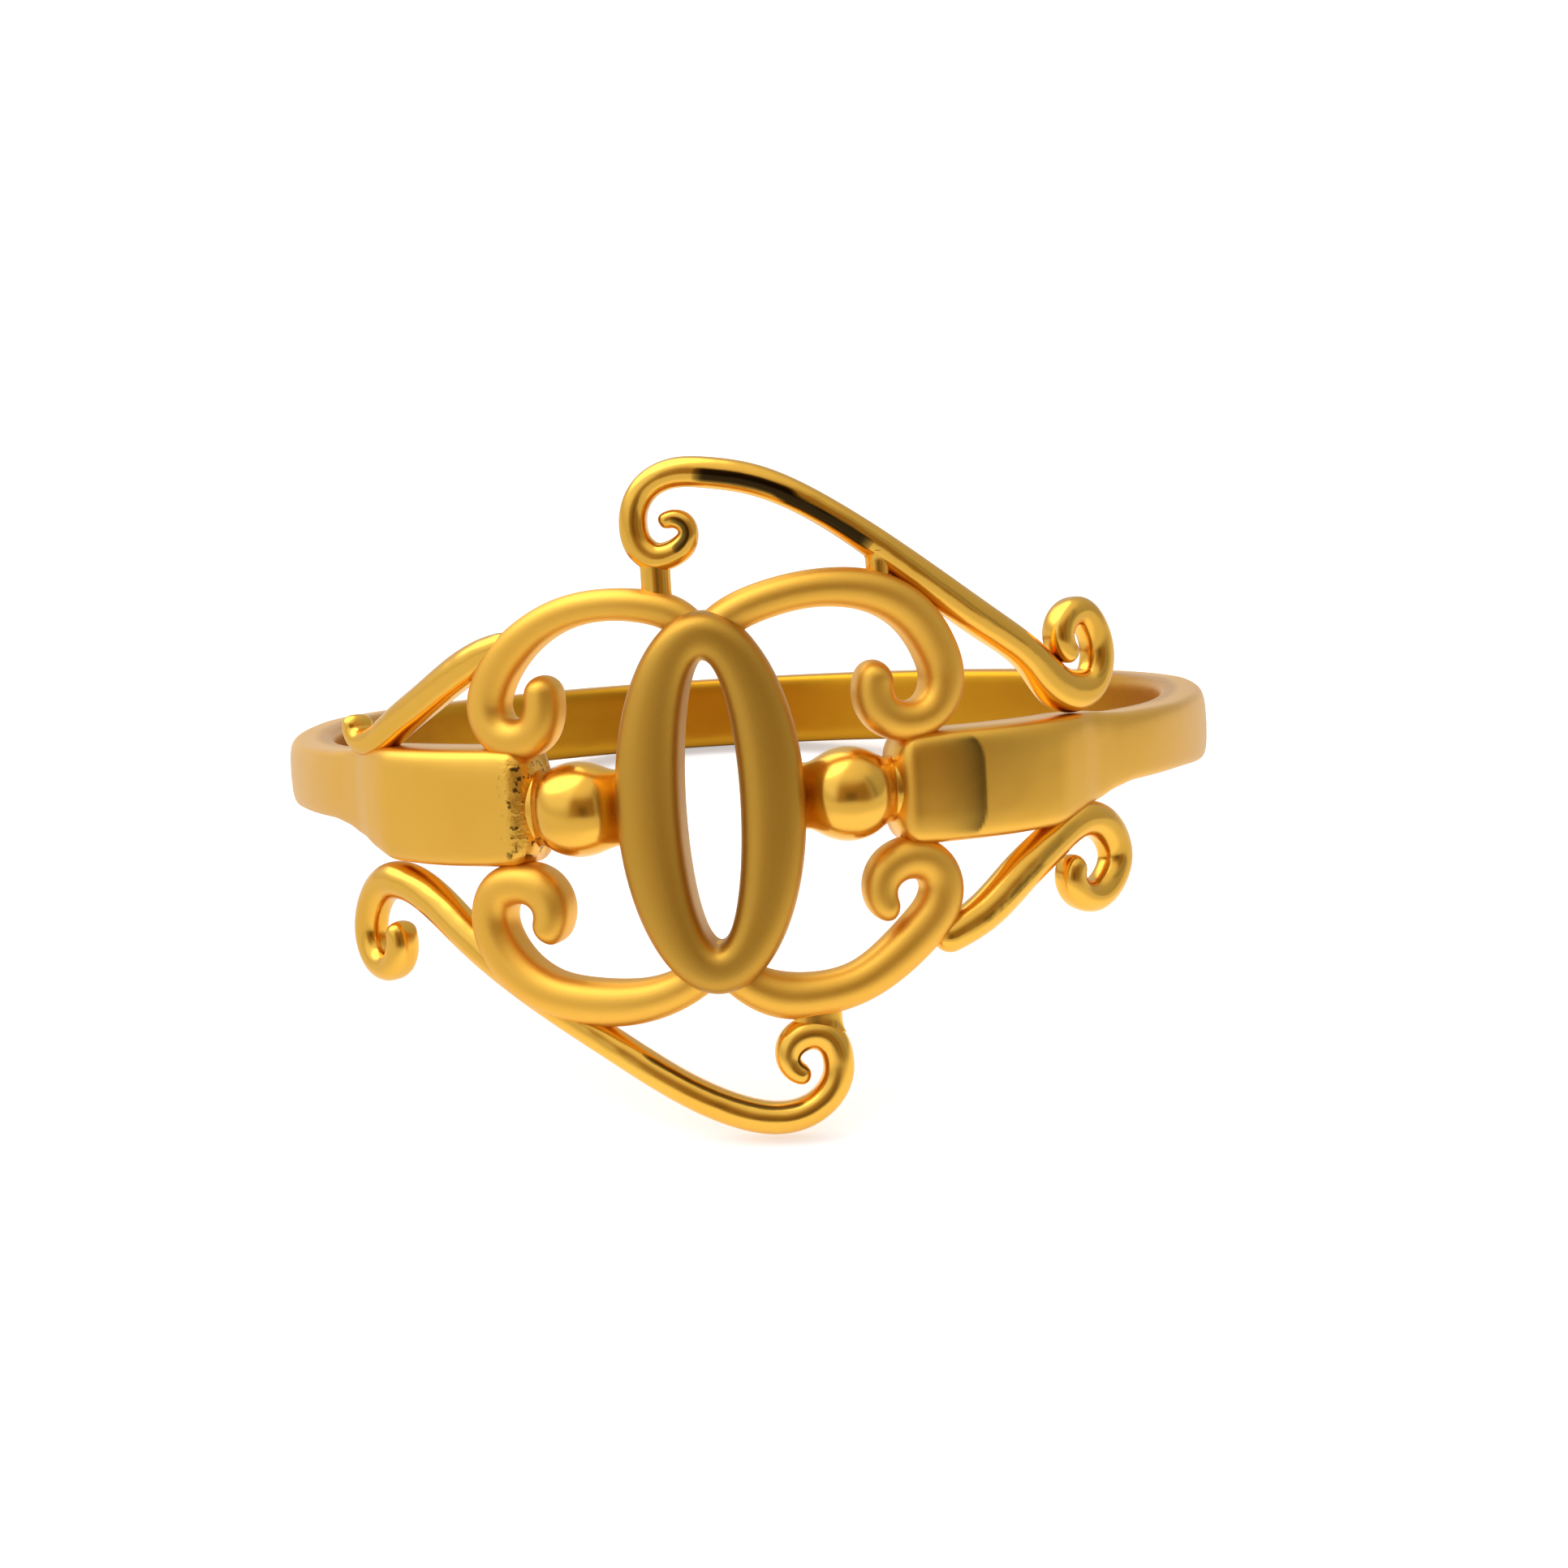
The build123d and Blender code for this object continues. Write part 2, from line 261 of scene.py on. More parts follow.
# The lower long wire, drawn in the same sense as the upper and then turned half round
lower_wire_rows = [
    (-0.184, 0.866, 0.52),
    (-0.153, 0.849, 0.66),
    (-0.136, 0.811, 0.74),
    (-0.143, 0.768, 0.90),
    (-0.169, 0.739, 0.98),
    (-0.205, 0.735, 1.02),
    (-0.234, 0.765, 0.98),
    (-0.246, 0.816, 0.92),
    (-0.244, 0.870, 0.90),
    (-0.196, 0.960, 0.90),
    (-0.119, 0.993, 0.95),
    (-0.019, 0.966, 0.97),
    (0.088, 0.896, 0.95),
    (0.238, 0.764, 0.92),
    (0.425, 0.598, 0.96),
    (0.625, 0.402, 1.10),
    (0.783, 0.264, 1.18),
    (0.880, 0.262, 1.14),
    (0.944, 0.342, 1.02),
    (0.962, 0.456, 0.99),
    (0.920, 0.533, 0.95),
    (0.864, 0.528, 0.90),
    (0.838, 0.464, 0.86),
    (0.846, 0.386, 0.66),
]
# The short wire above on the left, with its reach counted to the left
upper_short_wire_rows = [
    (0.436, 0.514, 0.70),
    (0.507, 0.480, 0.98),
    (0.598, 0.420, 1.08),
    (0.694, 0.342, 1.04),
    (0.794, 0.265, 1.02),
    (0.895, 0.200, 0.90),
    (0.940, 0.207, 0.76),
    (0.958, 0.243, 0.62),
    (0.950, 0.285, 0.48),
]
# The short wire below on the right, with its rise counted downwards
lower_short_wire_rows = [
    (0.485, 0.490, 1.00),
    (0.619, 0.409, 1.18),
    (0.716, 0.309, 1.24),
    (0.816, 0.219, 1.18),
    (0.905, 0.166, 1.12),
    (0.994, 0.210, 1.13),
    (1.023, 0.312, 1.06),
    (0.977, 0.397, 1.04),
    (0.938, 0.418, 1.00),
    (0.894, 0.407, 0.94),
    (0.866, 0.367, 0.88),
    (0.865, 0.319, 0.80),
    (0.883, 0.280, 0.66),
]
# Each post: its place along, and its lower and upper end, as shares of the face's reach and rise,
# and its width as a share of its depth
post_rows = [
    ("post_upper_hook", -0.095, 0.600, 0.760, 1.15),
    ("post_upper_wire", 0.392, 0.620, 0.735, 0.90),
    ("post_lower_hook", 0.206, -0.735, -0.600, 1.90),
]
# Sections from the bead outwards, past the waist: the share of the shoulder's length, the share of
# the way from the band's width and wall to the shoulder's own, the share of the way from the band's
# width to the waist's, and the share of the face's drop
shoulder_rows = [
    (0.00, 0.86, 0.00, 1.00),
    (0.10, 0.96, 0.00, 1.00),
    (0.28, 1.00, 0.00, 1.00),
    (0.53, 0.92, 0.00, 0.90),
    (0.65, 0.56, 0.00, 0.52),
    (0.77, 0.12, 0.10, 0.15),
    (0.88, 0.00, 0.60, -0.08),
    (1.00, 0.00, 0.96, -0.20),
    (1.30, 0.00, 1.00, -0.20),
    (1.65, 0.00, 0.70, -0.10),
    (2.00, 0.00, 0.25, 0.00),
    (2.30, 0.00, 0.00, 0.00),
]

# Painted reflections on the polished wires, drawn as dark streaks: from and to along, up (in mm)
# and across (as a share of the half width, positive to the left of the wire's course), and how
# dark. Then how soft their edges are, in the same measures.
upper_wire_painted_reflections = [
    (-0.15, 1.90, 3.6, 6.3, -0.74, 0.38, 1.00),
    (1.35, 3.20, 3.6, 6.3, -0.92, 0.06, 1.00),
    (3.30, 5.20, 2.0, 4.2, -0.20, 0.22, 0.42),
    (-0.60, 0.25, 4.2, 5.15, -0.60, 0.35, 0.85),
]
lower_wire_painted_reflections = [
    (-1.75, 1.60, -6.2, -4.0, -0.98, -0.52, 0.95),
]
lower_short_wire_painted_reflections = [
    (4.40, 6.30, -3.2, -0.6, -0.34, 0.34, 0.55),
]
painted_reflection_edges = (0.35, 0.2, 0.22)

# The camera, fitted to the band's circles in the photograph, on the upright ring: its distance,
# slide and climb in millimetres, and the nearest and farthest that it sees in metres
camera_azimuth = radians(3.55)
camera_elevation = radians(5.93)
camera_roll = radians(3.14)
camera_distance = 52.25
camera_slide = 0.73
camera_climb = -0.90
photo_pixels = 1932
photo_focal_pixels = 3039
sensor_width = 36.0
nearest_seen = 0.001
farthest_seen = 10

# The floor: how far it reaches in metres, how pale and rough it is, and the glow that lifts it
# beneath the ring, from the first distance to the second from the glow's middle, in millimetres
floor_reach = 3.0
floor_paleness = 0.70
floor_roughness = 0.9
floor_glow = 0.5
glow_along = 4
glow_across = -8
glow_full = 6
glow_end = 17

# The studio round the ring, by the direction that a reflection looks in. Azimuths are degrees to
# the right of the front: from, to, and the edge that they ease over. Heights are the direction's
# z: a top or a foot eases from the first to the second
plain_light = 0.60
light_leftward = 0.14
light_upward = 0.12
room_azimuths = (-20, 56, 12)
room_top = (0.55, 0.85)
room_dimming = 0.46
room_colour = (1, 0.66, 0.30, 1)
darkest_azimuths = (0, 22, 8)
darkest_heights = (-0.05, 0.42, 0.08)
darkest_dimming = 0.55
strip_azimuths = (65, 73, 3)
strip_top = (0.75, 0.85)
strip_dimming = 0.6
softbox_azimuths = (-115, -28, 20)
softbox_foot = (0.12, 0.42)
softbox_light = 0.38
softbox_colour = (0.93, 1, 1.15, 1)
ceiling_foot = (0.6, 0.95)
ceiling_light = 0.30

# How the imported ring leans: the bore's axis is the upright ring's Z after a pitch and a roll
finger_axis = finger_bore["axis"]
rest_roll = asin(-finger_axis[0])
rest_pitch = atan2(finger_axis[1], finger_axis[2])
lean_table = np.array(Matrix.Rotation(-rest_pitch, 3, "X") @ Matrix.Rotation(-rest_roll, 3, "Y"))


def spline_through(rows, step):
    """A smooth line through rows of numbers, the first two of which are its places in millimetres.

    Each column is a natural cubic spline over the length of the straight runs between the places:
    its bends m solve the usual three-term equations, and a point a share t along a run of length h
    from y0 to y1 is (1-t) y0 + t y1 + h^2 ((1-t)^3 - (1-t)) m0 / 6 + h^2 (t^3 - t) m1 / 6."""
    rows = np.asarray(rows, dtype=float)
    runs = np.linalg.norm(np.diff(rows[:, :2], axis=0), axis=1)
    marks = np.concatenate([[0], np.cumsum(runs)])
    inner = len(rows) - 2
    terms = np.zeros((inner, inner))
    index = np.arange(inner)
    terms[index, index] = 2 * (runs[:-1] + runs[1:])
    terms[index[1:], index[:-1]] = runs[1:-1]
    terms[index[:-1], index[1:]] = runs[1:-1]
    slopes = np.diff(rows, axis=0) / runs[:, None]
    bends = np.zeros_like(rows)
    bends[1:-1] = np.linalg.solve(terms, 6 * np.diff(slopes, axis=0))
    places = np.linspace(0, marks[-1], max(2, round(marks[-1] / step)))
    run = np.clip(np.searchsorted(marks, places, side="right") - 1, 0, len(runs) - 1)
    length = runs[run][:, None]
    share = ((places - marks[run]) / runs[run])[:, None]
    rest = 1 - share
    straight = rest * rows[run] + share * rows[run + 1]
    bend = (rest**3 - rest) * bends[run] + (share**3 - share) * bends[run + 1]
    return straight + length**2 * bend / 6


def smooth_table(places, table):
    """Columns of a short table read off between its rows, without a bump that the rows don't have.

    The slope at an inner row is twice the product of the slopes beside it over their sum, or level
    where they differ in sign. Between rows a height h apart, a share t of the way is the cubic
    y0 + d0 h t (1-t)^2 - d1 h t^2 (1-t) + (y1 - y0) t^2 (3 - 2t)."""
    table = np.asarray(table, dtype=float)
    runs = np.diff(table[:, 0])
    slopes = np.diff(table[:, 1:], axis=0) / runs[:, None]
    before, after = slopes[:-1], slopes[1:]
    same_sign = before * after > 0
    inner = np.where(same_sign, 2 * before * after / np.where(same_sign, before + after, 1), 0)
    level = np.zeros_like(slopes[:1])
    inner = np.concatenate([level, inner, level])
    row = np.clip(np.searchsorted(table[:, 0], places, side="right") - 1, 0, len(runs) - 1)
    run = runs[row][:, None]
    share = np.clip((places - table[row, 0]) / runs[row], 0, 1)[:, None]
    rise = table[row + 1, 1:] - table[row, 1:]
    start_bend = inner[row] * run * share * (1 - share) ** 2
    end_bend = inner[row + 1] * run * share**2 * (1 - share)
    return table[row, 1:] + start_bend - end_bend + rise * share**2 * (3 - 2 * share)


def section_loop(points, front_power, back_power):
    """One loop round a bar as places across (-1 to 1) and out (1 in front, -1 behind).

    Across is |cos a|^k and out |sin a|^k with their signs, where k is 1 for a half circle and less
    for a squarer half with rounded corners."""
    angle = np.linspace(0, 2 * pi, points, endpoint=False)
    power = np.where(np.sin(angle) >= 0, front_power, back_power)
    across = np.sign(np.cos(angle)) * np.abs(np.cos(angle)) ** power
    out = np.sign(np.sin(angle)) * np.abs(np.sin(angle)) ** power
    return across, out


def wrap(along, up, radius):
    """Places over the face, from their lengths along and up and their radius, on the upright ring.

    They are (r sin t, -r cos t, up - drop), with t the length along over the band's radius."""
    turn = along / band_radius
    return np.stack([radius * np.sin(turn), -radius * np.cos(turn), up - face_drop + 0 * radius], axis=-1)


def to_frame(places):
    """Upright places in millimetres, leaned as the ring lies and in metres."""
    return places @ lean_table.T * MM


def enclosed_volume(corners, faces):
    """The volume inside quads: each is two triangles a, b, c, which add a . (b x c) / 6."""
    a, b, c, d = (corners[faces[:, k]] for k in range(4))
    return (a * (np.cross(b, c) + np.cross(c, d))).sum() / 6


def grid_mesh(name, rings, material, ends_meet=False, masks=None):
    """A closed piece from rings of places, an array of (ring, point, xyz) on the upright ring.

    Each ring is joined to the next by quads. The last ring joins the first if ends_meet, and else
    each end is closed by quads that run to the ring's middle, a pole of as many equal corners.
    Each mask, an array of (ring, point), becomes an attribute that the material can read."""
    rings = to_frame(rings)
    masks = masks or {}
    if not ends_meet:
        first = np.broadcast_to(rings[:1].mean(axis=1, keepdims=True), rings[:1].shape)
        last = np.broadcast_to(rings[-1:].mean(axis=1, keepdims=True), rings[-1:].shape)
        rings = np.concatenate([first, rings, last])
        masks = {key: np.concatenate([mask[:1], mask, mask[-1:]]) for key, mask in masks.items()}
    count, points = rings.shape[:2]
    index = np.arange(count * points).reshape(count, points)
    here = index if ends_meet else index[:-1]
    ahead = np.roll(index, -1, axis=0) if ends_meet else index[1:]
    beside = np.roll(here, -1, axis=1)
    beside_ahead = np.roll(ahead, -1, axis=1)
    faces = np.stack([here, beside, beside_ahead, ahead], axis=-1).reshape(-1, 4)
    corners = rings.reshape(-1, 3)
    if enclosed_volume(corners, faces) < 0:
        faces = faces[:, ::-1]
    mesh = bpy.data.meshes.new(name)
    mesh.from_pydata(corners.tolist(), [], faces.tolist())
    for key, mask in masks.items():
        attribute = mesh.attributes.new(key, "FLOAT", "POINT")
        attribute.data.foreach_set("value", mask.reshape(-1).astype(np.float32))
    merge_poles(mesh)
    mesh.shade_smooth()
    mesh.materials.append(material)
    piece = bpy.data.objects.new(name, mesh)
    bpy.context.scene.collection.objects.link(piece)
    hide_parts("ring")
    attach(piece, "root")
    return piece


def merge_poles(mesh):
    """Merges each pole's equal corners into one, so that the quads there become triangles."""
    work = bmesh.new()
    work.from_mesh(mesh)
    bmesh.ops.remove_doubles(work, verts=work.verts, dist=1e-9)
    work.to_mesh(mesh)
    work.free()


def tip_swell(distances, half_widths):
    """How full a bar is at a distance from its nearer end: a quarter circle as deep as the half
    width there, sqrt(1 - (1 - d/h)^2), and full beyond it."""
    share = np.clip(distances / half_widths, 0, 1)
    return np.sqrt(np.clip(1 - (1 - share) ** 2, 0, 1))


def tip_places(length, tip):
    """Places along a bar: even ones, and at each end a few that crowd towards it as 1 - cos a."""
    near = tip * (1 - np.cos(np.linspace(first_tip_angle, pi / 2, tip_rings)))
    middle = np.linspace(tip, length - tip, max(2, round((length - 2 * tip) / bar_step)))
    return np.concatenate([near[:-1], middle, length - near[-2::-1]])


def eased(share):
    """0 up to 0, 1 from 1 on, and t^2 (3 - 2t) between them."""
    share = np.clip(share, 0, 1)
    return share * share * (3 - 2 * share)


def window(values, low, high, edge):
    """1 between low and high, 0 outside, and eased over an edge inside them at both ends."""
    return eased(np.minimum(values - low, high - values) / edge)


def painted_reflection_streaks(rows, along, up, across, out):
    """How dark the painted reflections, drawn as streaks, make each place of a wire: the sum of the
    windows that the rows give over the lengths along, the heights up and the share of the width, in
    front only."""
    along_edge, up_edge, across_edge = painted_reflection_edges
    dark = 0 * across * along
    for along_low, along_high, up_low, up_high, across_low, across_high, strength in rows:
        here = window(along, along_low, along_high, along_edge)
        here = here * window(up, up_low, up_high, up_edge)
        dark = dark + strength * here * window(across, across_low, across_high, across_edge)
    return np.clip(dark, 0, 1) * (out > 0)


def bar(name, rows, side, rise, full_width, lift, depth, material, painted_reflection_rows=()):
    """A bar laid on the face, half round in front, with well rounded back edges and round tips.

    Its course is the spline through the rows. At a place on it, the section lies across the
    course: a point at (across, out) stands across times the half width to the side, and out times
    the depth in front of or behind the line where the half-round front begins."""
    rows = np.array(rows) * (side * face_reach, rise * face_rise, full_width / 2)
    course = spline_through(rows, bar_step / 4)
    steps = np.linalg.norm(np.diff(course[:, :2], axis=0), axis=1)
    marks = np.concatenate([[0], np.cumsum(steps)])
    places = tip_places(marks[-1], course[[0, -1], 2].max())
    along, up, half = (np.interp(places, marks, course[:, k]) for k in range(3))
    heading = np.stack([np.gradient(along, places), np.gradient(up, places)])
    heading /= np.linalg.norm(heading, axis=0)
    swell = tip_swell(np.minimum(places, marks[-1] - places), half)[:, None]
    across, out = section_loop(bar_section_points, bar_front_power, bar_back_power)
    back = bore_radius + lift
    front_line = back + depth - half[:, None]
    deep = np.where(out >= 0, half[:, None], depth - half[:, None])
    middle = back + depth / 2
    radius = middle + (front_line + out * deep - middle) * swell
    sideways = across * half[:, None] * swell
    rings = wrap(
        along[:, None] - heading[1][:, None] * sideways,
        up[:, None] + heading[0][:, None] * sideways,
        radius,
    )
    # The dark streaks are painted reflections on the polished wire
    dark = painted_reflection_streaks(painted_reflection_rows, along[:, None], up[:, None], across, out)
    return grid_mesh(name, rings, material, masks={"dark": dark})


def tendril(name, rows, side, rise, lift, depth):
    """One of the four tendrils that grow from beneath the hoop."""
    return bar(name, rows, side, rise, tendril_width, lift, depth, satin_gold)


def wire(name, rows, side, rise, painted_reflection_rows=()):
    """One of the four scroll wires, with its painted reflections, drawn as dark streaks."""
    shape = (wire_width, wire_lift, wire_depth)
    return bar(name, rows, side, rise, *shape, polished_gold, painted_reflection_rows)


def band_with_shoulders():
    """The band and both shoulders in one loop that is open at the beads.

    Along it, from one shoulder's end round the back to the other, the width, wall and drop are
    read from the shoulder's table by the distance to the nearer end. Both ends swell from nothing
    as a quarter circle to a small power, which makes a pillowed end. At a share s of the half
    width, the outside is crowned by 1 - s^2."""
    shoulder_start = hoop_width / 2 + bead_diameter - 2 * solder_bite
    length = 2 * pi * band_radius - 2 * shoulder_start
    places = tip_places(length, shoulder_end_round)
    to_end = np.minimum(places, length - places)
    fullness, waist_share, drop_share = smooth_table(to_end / shoulder_length, shoulder_rows).T
    on_right = places < length / 2
    shoulder_width = np.where(on_right, right_shoulder_width, left_shoulder_width)
    width = band_width + fullness * (shoulder_width - band_width)
    half_width = (width + waist_share * (band_waist_width - band_width)) / 2
    wall = band_wall + fullness * (shoulder_wall - band_wall)
    swell = tip_swell(to_end, shoulder_end_round) ** shoulder_end_power
    across, out = section_loop(band_section_points, band_power, band_power)
    sideways = across * (half_width * swell)[:, None]
    crown = band_crown * (1 - across**2) * (out > 0)
    middle = (wall / 2)[:, None]
    radius = bore_radius + middle + (out * middle + crown) * swell[:, None]
    turn_along = shoulder_start + places[:, None] + 0 * sideways
    drop = (drop_share * face_drop)[:, None]
    rings = wrap(turn_along, sideways - drop + face_drop, radius)
    masks = band_masks(to_end[:, None], sideways, half_width[:, None], out, on_right[:, None])
    return grid_mesh("band", rings, band_gold, masks=masks)


def band_masks(to_end, sideways, half_width, out, on_right):
    """Where the band takes painted dark reflections, where it is pitted, and where it is inside, which
    is warmed by a painted reflection of gold in gold.

    The patch of painted dark reflection ends at a distance e = L (1 - c s^4), with s the share of
    the half width. It darkens as the share of e to a power, and fades over one edge before e and
    over another before L. The pits, which take painted dark reflections and a bumped relief, fade
    away from the left shoulder's end."""
    limit = marked_height * half_width
    marked = window(sideways, -limit, limit, marked_edge)
    # The patch is glossy and darkened by a painted reflection
    patch_end = patch_length * (1 - patch_corner * (sideways / half_width) ** 4)
    patch = np.clip(to_end / patch_end, 0, 1) ** patch_ramp_power
    patch = patch * eased((patch_end - to_end) / patch_corner_edge)
    patch = patch * eased((patch_length - to_end) / patch_edge) * marked * (out > 0)
    # The pits take painted dark reflections and a bumped relief
    pits = eased((pits_length - to_end) / pits_edge) * marked
    # Inside, the band is warmed by a painted reflection of gold in gold
    inside = np.where(out < 0, 1, 0) + 0 * sideways
    return {
        "dark": np.where(on_right, patch, 0),
        "pitted": np.where(on_right, 0, pits),
        "inside": inside,
    }


def hoop():
    """The upright oval hoop: a section carried round between an outer and an inner ellipse.

    At each angle the section spans from the inner ellipse to the outer, is crowned in front as a
    half ellipse to a small power, and is nearly flat behind."""
    angle = np.linspace(0, 2 * pi, loop_rings, endpoint=False)[:, None]
    outer_along = np.cos(angle) * hoop_width / 2
    outer_up = np.sin(angle) * hoop_height / 2
    inner_along = np.cos(angle) * (hoop_width / 2 - hoop_side_wall)
    inner_up = np.sin(angle) * (hoop_height / 2 - hoop_end_wall)
    across, out = section_loop(bar_section_points, hoop_front_power, hoop_back_power)
    share = (1 + across) / 2
    along = inner_along + share * (outer_along - inner_along)
    up = inner_up + share * (outer_up - inner_up)
    front_line = bore_radius + hoop_lift + hoop_depth - hoop_crown
    deep = np.where(out >= 0, hoop_crown, hoop_depth - hoop_crown)
    radius = front_line + out * deep + 0 * along
    return grid_mesh("hoop", wrap(along, up, radius), hoop_gold, ends_meet=True)


def soft_greater(first, second):
    """Nearly the greater of two sizes: (a^k + b^k)^(1/k)."""
    power = neck_corner_power
    return (first**power + second**power) ** (1 / power)


def bead(name, side, drop, neck_height):
    """A polished bead with a neck of solder at each side, swept along the line from hoop to shoulder.

    At a place x from its middle the ball's radius is b = sqrt(R^2 - x^2) and the neck's n is half
    its height, or half its depth from front to back. The section's is (b^k + n^k)^(1/k), which is
    nearly the greater of the two, with the corner between them rounded. Its middle moves from the
    ball's line to the neck's as the neck takes over."""
    ball = bead_diameter / 2
    bead_along = side * (hoop_width / 2 + ball - solder_bite)
    x = neck_reach * np.cos(np.linspace(pi, 0, 2 * round_points))[:, None]
    angle = np.linspace(0, 2 * pi, round_points, endpoint=False)
    ball_radius = np.sqrt(np.clip(ball**2 - x**2, 0, None))
    flare = 1 + neck_flare * (np.abs(x) / neck_reach) ** 4
    high = soft_greater(ball_radius, neck_height / 2 * flare)
    deep = soft_greater(ball_radius, neck_depth / 2 * flare)
    neck_radius = bore_radius + neck_lift + neck_depth / 2
    neck_share = np.clip((np.abs(x) - ball / 2) / (ball / 2), 0, 1) ** 2
    middle = band_radius + neck_share * (neck_radius - band_radius)
    along = bead_along + x + 0 * angle
    up = high * np.sin(angle) - drop
    out = middle + deep * np.cos(angle)
    return grid_mesh(name, wrap(along, up, out), polished_gold)


def post(name, across_share, low_share, high_share, width_share):
    """A solder post between a wire and a tendril, oval, and flared towards both of its ends.

    At a share t of its height its half depth is r + f (2t - 1)^4 and its half width w r + f
    (2t - 1)^4, with f the flare and w the width as a share of the depth."""
    share = np.linspace(0, 1, post_points)[:, None]
    angle = np.linspace(0, 2 * pi, post_points, endpoint=False)
    flare = post_flare * (2 * share - 1) ** 4
    low, high = low_share * face_rise, high_share * face_rise
    up = low + share * (high - low) + 0 * angle
    along = across_share * face_reach + (width_share * post_depth / 2 + flare) * np.cos(angle)
    out = bore_radius + wire_lift + wire_depth / 2 + (post_depth / 2 + flare) * np.sin(angle)
    return grid_mesh(name, wrap(along, up, out), polished_gold)


class Socket:
    """One output of a node, with Python's operators. On values they add Math nodes, and on vectors
    Vector Math nodes."""

    def __init__(self, tree, link, is_vector=False):
        self.tree = tree
        self.link = link
        self.is_vector = is_vector

    def combine(self, operation, first, second):
        kind = "ShaderNodeVectorMath" if self.is_vector else "ShaderNodeMath"
        made = self.tree.nodes.new(kind)
        made.operation = operation
        for place, value in enumerate((first, second)):
            if isinstance(value, Socket):
                self.tree.links.new(value.link, made.inputs[place])
            else:
                made.inputs[place].default_value = value
        return Socket(self.tree, made.outputs[0], self.is_vector)

    def __add__(self, other):
        return self.combine("ADD", self, other)

    def __radd__(self, other):
        return self.combine("ADD", other, self)

    def __sub__(self, other):
        return self.combine("SUBTRACT", self, other)

    def __rsub__(self, other):
        return self.combine("SUBTRACT", other, self)

    def __mul__(self, other):
        return self.combine("MULTIPLY", self, other)

    def __rmul__(self, other):
        return self.combine("MULTIPLY", other, self)

    def at_most(self, other):
        return self.combine("MINIMUM", self, other)


class Nodes:
    """A node tree that is written as Python expressions."""

    def __init__(self, tree):
        self.tree = tree
        tree.nodes.clear()

    def add(self, kind, settings, inputs, output=0, is_vector=False):
        """Any node: its settings first, then the values or links of its sockets."""
        made = self.tree.nodes.new(kind)
        for name, value in settings.items():
            setattr(made, name, value)
        for name, value in inputs.items():
            if isinstance(value, Socket):
                self.tree.links.new(value.link, made.inputs[name])
            else:
                made.inputs[name].default_value = value
        if made.outputs:
            return Socket(self.tree, made.outputs[output], is_vector)

    def mix_colour(self, share, first, second):
        """The colour that share of the way from the first to the second."""
        settings = {"data_type": "RGBA"}
        inputs = {0: share, 6: first, 7: second}
        return self.add("ShaderNodeMix", settings, inputs, output=2)

    def smooth_step(self, value, low, high):
        """0 below low, 1 above high, and eased between them."""
        settings = {"interpolation_type": "SMOOTHSTEP"}
        inputs = {"Value": value, "From Min": low, "From Max": high}
        return self.add("ShaderNodeMapRange", settings, inputs)

    def band(self, value, low, high, edge):
        """1 between low and high, 0 outside, and eased over an edge on both sides."""
        rising = self.smooth_step(value, low - edge / 2, low + edge / 2)
        falling = self.smooth_step(value, high - edge / 2, high + edge / 2)
        return rising * (1 - falling)

    def mask(self, name):
        """What a piece's attribute of that name says, from 0 to 1."""
        return self.add("ShaderNodeAttribute", {"attribute_name": name}, {}, output="Fac")

    def noise(self, place, feature_mm, detail):
        """Cloudy noise from 0 to 1 with features of about that size."""
        inputs = {"Vector": place, "Scale": 1 / (feature_mm * MM), "Detail": detail}
        return self.add("ShaderNodeTexNoise", {}, inputs)


# The gold's colours: its lighter and deeper tones; the warm colour, which warms the hoop's tone and
# paints the band's inside with a reflection of gold in gold; and the dark colour, which deepens the
# hoop's tone and paints the dark reflections on the band and the wires
gold_light = (0.880, 0.500, 0.080, 1)
gold_deep = (0.820, 0.430, 0.054, 1)
gold_warm_tone_and_painted_reflection = (0.640, 0.300, 0.016, 1)
gold_dark_tone_and_painted_reflection = (0.035, 0.020, 0.006, 1)

# The finishes: how rough each is and how far that drifts, and the size of its grains or waves and
# their depth in millimetres
colour_cloud = 1.6
satin_roughness = 0.38
satin_drift = 0.08
satin_speckle = 0.06
satin_grain = 0.05
satin_depth = 0.0016
hoop_warmth = 0.15
hoop_darkness = 0.26
hoop_drift = 0.10
polished_roughness = 0.19
polished_drift = 0.06
polished_wave = 0.7
polished_depth = 0.03
band_roughness = 0.32
band_drift = 0.06
band_wave = 0.8
band_depth = 0.015

# The painted reflections in them: the size of a streak's ripples, how ragged they make it, and
# from where to where it fades in; how dark the patch's painted reflection is and how glossy the
# patch is; and the size of the pits, from where to where they sink in the noise, how dark their
# painted reflections are, and how much deeper than the band's waves
painted_reflection_ripple = 0.22
painted_reflection_raggedness = 0.6
painted_reflection_fade = (0.35, 0.62)
patch_painted_reflection_darkness = 0.92
patch_gloss = 0.14
pit_size = 0.16
pit_fade = (0.57, 0.64)
pit_painted_reflection_darkness = 0.85
pit_relief = 2.0


